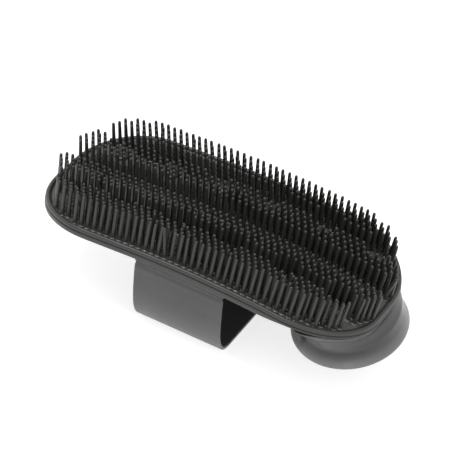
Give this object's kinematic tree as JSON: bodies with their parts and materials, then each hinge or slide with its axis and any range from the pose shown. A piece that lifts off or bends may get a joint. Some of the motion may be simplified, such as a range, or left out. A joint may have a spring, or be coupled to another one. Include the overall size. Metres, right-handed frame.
{
  "type": "curry comb",
  "caption": "Needle-pin curry comb with a bowed oblong pin pad, a hand strap that unlatches and swings open on a live hinge, and a flared grip at one end.",
  "frame": {"origin": "centre of the footprint, on the surface that the strap's flat palm section stands on", "axes": "+X along the comb towards the flared end grip, -Y the hinged long edge, +Z the way the pins point"},
  "size_m": [0.1772, 0.084, 0.0573],
  "materials": {
    "pin_pad": "satin moulded flexible plastic, near black",
    "shell": "satin moulded plastic, dark grey",
    "rivet": "satin moulded plastic, near black"
  },
  "bodies": {
    "comb": {"pin_pad": "pin_pad", "back_plate": "pin_pad", "strap_hinge_strip": "shell", "end_grip": "shell", "pad_rivet_01": "rivet", "pad_rivet_02": "rivet", "pad_rivet_03": "rivet", "pad_rivet_04": "rivet", "pad_rivet_05": "rivet", "pad_rivet_06": "rivet", "pad_rivet_07": "rivet", "pad_rivet_08": "rivet", "pad_rivet_09": "rivet", "pad_rivet_10": "rivet", "pad_rivet_11": "rivet", "pad_rivet_12": "rivet", "strip_rivet_1": "rivet", "strip_rivet_2": "rivet", "strip_rivet_3": "rivet", "grip_rivet_1": "rivet", "grip_rivet_2": "rivet", "grip_rivet_3": "rivet", "grip_rivet_4": "rivet"},
    "strap": {"hand_strap": "shell"}
  },
  "joints": [
    {"name": "strap_hinge", "type": "hinge", "parent": "comb", "child": "strap", "pos_m": [0, -0.0404, 0.03715], "axis": [-1, 0, 0], "range_deg": [0, 105]}
  ]
}
